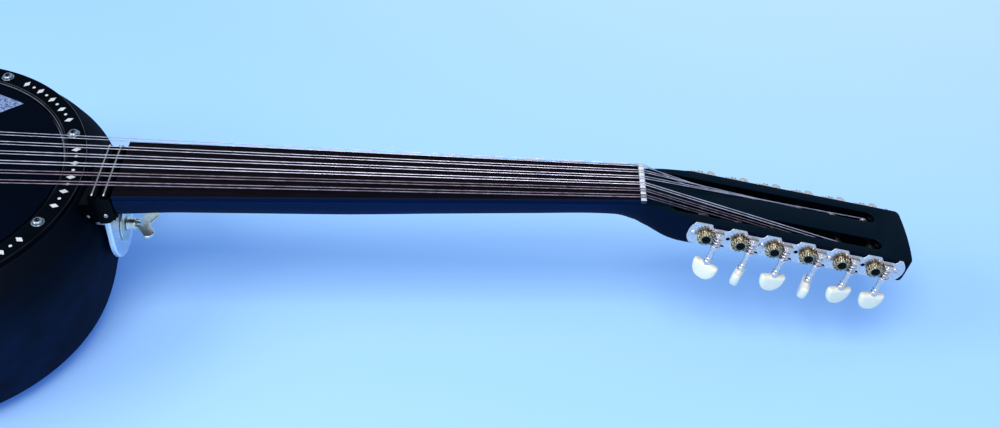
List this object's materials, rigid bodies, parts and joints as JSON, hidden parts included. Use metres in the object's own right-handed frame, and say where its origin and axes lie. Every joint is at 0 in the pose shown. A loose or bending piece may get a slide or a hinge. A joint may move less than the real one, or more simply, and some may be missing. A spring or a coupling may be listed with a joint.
{
  "type": "electric cumbus",
  "caption": "Fretless banjo-lute with a spun metal bowl, a drumhead under a bolted ring, a tilting neck with paired strings and a slotted head with geared tuners.",
  "frame": {"origin": "centre of the bowl's flat base, on the surface that it stands on", "axes": "+X along the neck towards the head, +Z out of the drumhead, +Y across the neck to the thin strings"},
  "size_m": [0.8566, 0.2946, 0.1562],
  "materials": {
    "bowl_paint": "spun aluminium painted satin black",
    "plate_paint": "smooth black paint",
    "casting_paint": "black paint over a casting",
    "drum_skin": "black polyester film",
    "steel": "bright steel",
    "string_steel": "plain drawn wire",
    "nickel": "nickel plate",
    "zinc": "zinc plate",
    "polished_aluminium": "polished casting",
    "brass": "plain brass",
    "pearl": "pearl plastic",
    "white_nut": "white plastic",
    "dark_wood": "smooth dark hardwood",
    "lacquered_wood": "gloss blue-black lacquer",
    "maple": "bare wood",
    "lead_sheath": "thin black sheath"
  },
  "bodies": {
    "pot": {"bowl": "bowl_paint", "top_plate": "plate_paint", "drum_head": "drum_skin", "tension_hoop": "steel", "bridge": "maple", "pickup": "brass", "pickup_lead": "lead_sheath", "output_jack": "nickel", "tailpiece": "nickel", "tail_bolt": "nickel", "body_bracket": "casting_paint", "hinge_pin": "steel", "clamp_stud": "zinc", "string_1": "string_steel", "string_2": "string_steel", "string_3": "string_steel", "string_4": "string_steel", "string_5": "string_steel", "string_6": "string_steel", "string_7": "string_steel", "string_8": "string_steel", "string_9": "string_steel", "string_10": "string_steel", "string_11": "string_steel", "string_12": "string_steel"},
    "neck": {"neck": "lacquered_wood", "fingerboard": "dark_wood", "nut": "white_nut", "neck_shoe": "casting_paint", "clamp_tongue": "polished_aluminium", "clamp_washer": "zinc", "tuner_plate_near": "nickel", "tuner_plate_far": "nickel"},
    "wing_nut": {"wing_nut": "zinc"},
    "key_near_1": {"key_near_1": "pearl"},
    "roller_near_1": {"roller_near_1": "brass"},
    "key_near_2": {"key_near_2": "pearl"},
    "roller_near_2": {"roller_near_2": "brass"},
    "key_near_3": {"key_near_3": "pearl"},
    "roller_near_3": {"roller_near_3": "brass"},
    "key_near_4": {"key_near_4": "pearl"},
    "roller_near_4": {"roller_near_4": "brass"},
    "key_near_5": {"key_near_5": "pearl"},
    "roller_near_5": {"roller_near_5": "brass"},
    "key_near_6": {"key_near_6": "pearl"},
    "roller_near_6": {"roller_near_6": "brass"},
    "key_far_1": {"key_far_1": "pearl"},
    "roller_far_1": {"roller_far_1": "brass"},
    "key_far_2": {"key_far_2": "pearl"},
    "roller_far_2": {"roller_far_2": "brass"},
    "key_far_3": {"key_far_3": "pearl"},
    "roller_far_3": {"roller_far_3": "brass"},
    "key_far_4": {"key_far_4": "pearl"},
    "roller_far_4": {"roller_far_4": "brass"},
    "key_far_5": {"key_far_5": "pearl"},
    "roller_far_5": {"roller_far_5": "brass"},
    "key_far_6": {"key_far_6": "pearl"},
    "roller_far_6": {"roller_far_6": "brass"}
  },
  "joints": [
    {"name": "neck_tilt", "type": "hinge", "parent": "pot", "child": "neck", "pos_m": [0.1517, 0, 0.1253], "axis": [0, 1, 0], "range_deg": [-1, 1], "deforming": ["string_1", "string_2", "string_3", "string_4", "string_5", "string_6", "string_7", "string_8", "string_9", "string_10", "string_11", "string_12"]},
    {"name": "wing_nut_turn", "type": "hinge", "parent": "neck", "child": "wing_nut", "pos_m": [0.1541, 0, 0.0925], "axis": [1, 0, 0], "range_deg": [-210, 210]},
    {"name": "key_near_1_turn", "type": "hinge", "parent": "neck", "child": "key_near_1", "pos_m": [0.56425, -0.0316, 0.11577], "axis": [0.225, 0, 0.9744], "continuous": true},
    {"name": "roller_near_1_turn", "type": "hinge", "parent": "neck", "child": "roller_near_1", "pos_m": [0.55658, -0.0316, 0.11754], "axis": [0, 1, 0], "continuous": true},
    {"name": "key_near_2_turn", "type": "hinge", "parent": "neck", "child": "key_near_2", "pos_m": [0.58803, -0.0316, 0.11028], "axis": [0.225, 0, 0.9744], "continuous": true},
    {"name": "roller_near_2_turn", "type": "hinge", "parent": "neck", "child": "roller_near_2", "pos_m": [0.58036, -0.0316, 0.11205], "axis": [0, 1, 0], "continuous": true},
    {"name": "key_near_3_turn", "type": "hinge", "parent": "neck", "child": "key_near_3", "pos_m": [0.6118, -0.0316, 0.10479], "axis": [0.225, 0, 0.9744], "continuous": true},
    {"name": "roller_near_3_turn", "type": "hinge", "parent": "neck", "child": "roller_near_3", "pos_m": [0.60413, -0.0316, 0.10656], "axis": [0, 1, 0], "continuous": true},
    {"name": "key_near_4_turn", "type": "hinge", "parent": "neck", "child": "key_near_4", "pos_m": [0.63558, -0.0316, 0.09931], "axis": [0.225, 0, 0.9744], "continuous": true},
    {"name": "roller_near_4_turn", "type": "hinge", "parent": "neck", "child": "roller_near_4", "pos_m": [0.62791, -0.0316, 0.10108], "axis": [0, 1, 0], "continuous": true},
    {"name": "key_near_5_turn", "type": "hinge", "parent": "neck", "child": "key_near_5", "pos_m": [0.65935, -0.0316, 0.09382], "axis": [0.225, 0, 0.9744], "continuous": true},
    {"name": "roller_near_5_turn", "type": "hinge", "parent": "neck", "child": "roller_near_5", "pos_m": [0.65168, -0.0316, 0.09559], "axis": [0, 1, 0], "continuous": true},
    {"name": "key_near_6_turn", "type": "hinge", "parent": "neck", "child": "key_near_6", "pos_m": [0.68312, -0.0316, 0.08833], "axis": [0.225, 0, 0.9744], "continuous": true},
    {"name": "roller_near_6_turn", "type": "hinge", "parent": "neck", "child": "roller_near_6", "pos_m": [0.67546, -0.0316, 0.0901], "axis": [0, 1, 0], "continuous": true},
    {"name": "key_far_1_turn", "type": "hinge", "parent": "neck", "child": "key_far_1", "pos_m": [0.56425, 0.0316, 0.11577], "axis": [0.225, 0, 0.9744], "continuous": true},
    {"name": "roller_far_1_turn", "type": "hinge", "parent": "neck", "child": "roller_far_1", "pos_m": [0.55658, 0.0316, 0.11754], "axis": [0, 1, 0], "continuous": true},
    {"name": "key_far_2_turn", "type": "hinge", "parent": "neck", "child": "key_far_2", "pos_m": [0.58803, 0.0316, 0.11028], "axis": [0.225, 0, 0.9744], "continuous": true},
    {"name": "roller_far_2_turn", "type": "hinge", "parent": "neck", "child": "roller_far_2", "pos_m": [0.58036, 0.0316, 0.11205], "axis": [0, 1, 0], "continuous": true},
    {"name": "key_far_3_turn", "type": "hinge", "parent": "neck", "child": "key_far_3", "pos_m": [0.6118, 0.0316, 0.10479], "axis": [0.225, 0, 0.9744], "continuous": true},
    {"name": "roller_far_3_turn", "type": "hinge", "parent": "neck", "child": "roller_far_3", "pos_m": [0.60413, 0.0316, 0.10656], "axis": [0, 1, 0], "continuous": true},
    {"name": "key_far_4_turn", "type": "hinge", "parent": "neck", "child": "key_far_4", "pos_m": [0.63558, 0.0316, 0.09931], "axis": [0.225, 0, 0.9744], "continuous": true},
    {"name": "roller_far_4_turn", "type": "hinge", "parent": "neck", "child": "roller_far_4", "pos_m": [0.62791, 0.0316, 0.10108], "axis": [0, 1, 0], "continuous": true},
    {"name": "key_far_5_turn", "type": "hinge", "parent": "neck", "child": "key_far_5", "pos_m": [0.65935, 0.0316, 0.09382], "axis": [0.225, 0, 0.9744], "continuous": true},
    {"name": "roller_far_5_turn", "type": "hinge", "parent": "neck", "child": "roller_far_5", "pos_m": [0.65168, 0.0316, 0.09559], "axis": [0, 1, 0], "continuous": true},
    {"name": "key_far_6_turn", "type": "hinge", "parent": "neck", "child": "key_far_6", "pos_m": [0.68312, 0.0316, 0.08833], "axis": [0.225, 0, 0.9744], "continuous": true},
    {"name": "roller_far_6_turn", "type": "hinge", "parent": "neck", "child": "roller_far_6", "pos_m": [0.67546, 0.0316, 0.0901], "axis": [0, 1, 0], "continuous": true}
  ],
  "couplings": [
    {"joint": "wing_nut_turn", "follows": "neck_tilt", "ratio": -206.09},
    {"joint": "roller_near_1_turn", "follows": "key_near_1_turn", "ratio": 0.071429},
    {"joint": "roller_near_2_turn", "follows": "key_near_2_turn", "ratio": 0.071429},
    {"joint": "roller_near_3_turn", "follows": "key_near_3_turn", "ratio": 0.071429},
    {"joint": "roller_near_4_turn", "follows": "key_near_4_turn", "ratio": 0.071429},
    {"joint": "roller_near_5_turn", "follows": "key_near_5_turn", "ratio": 0.071429},
    {"joint": "roller_near_6_turn", "follows": "key_near_6_turn", "ratio": 0.071429},
    {"joint": "roller_far_1_turn", "follows": "key_far_1_turn", "ratio": 0.071429},
    {"joint": "roller_far_2_turn", "follows": "key_far_2_turn", "ratio": 0.071429},
    {"joint": "roller_far_3_turn", "follows": "key_far_3_turn", "ratio": 0.071429},
    {"joint": "roller_far_4_turn", "follows": "key_far_4_turn", "ratio": 0.071429},
    {"joint": "roller_far_5_turn", "follows": "key_far_5_turn", "ratio": 0.071429},
    {"joint": "roller_far_6_turn", "follows": "key_far_6_turn", "ratio": 0.071429}
  ]
}
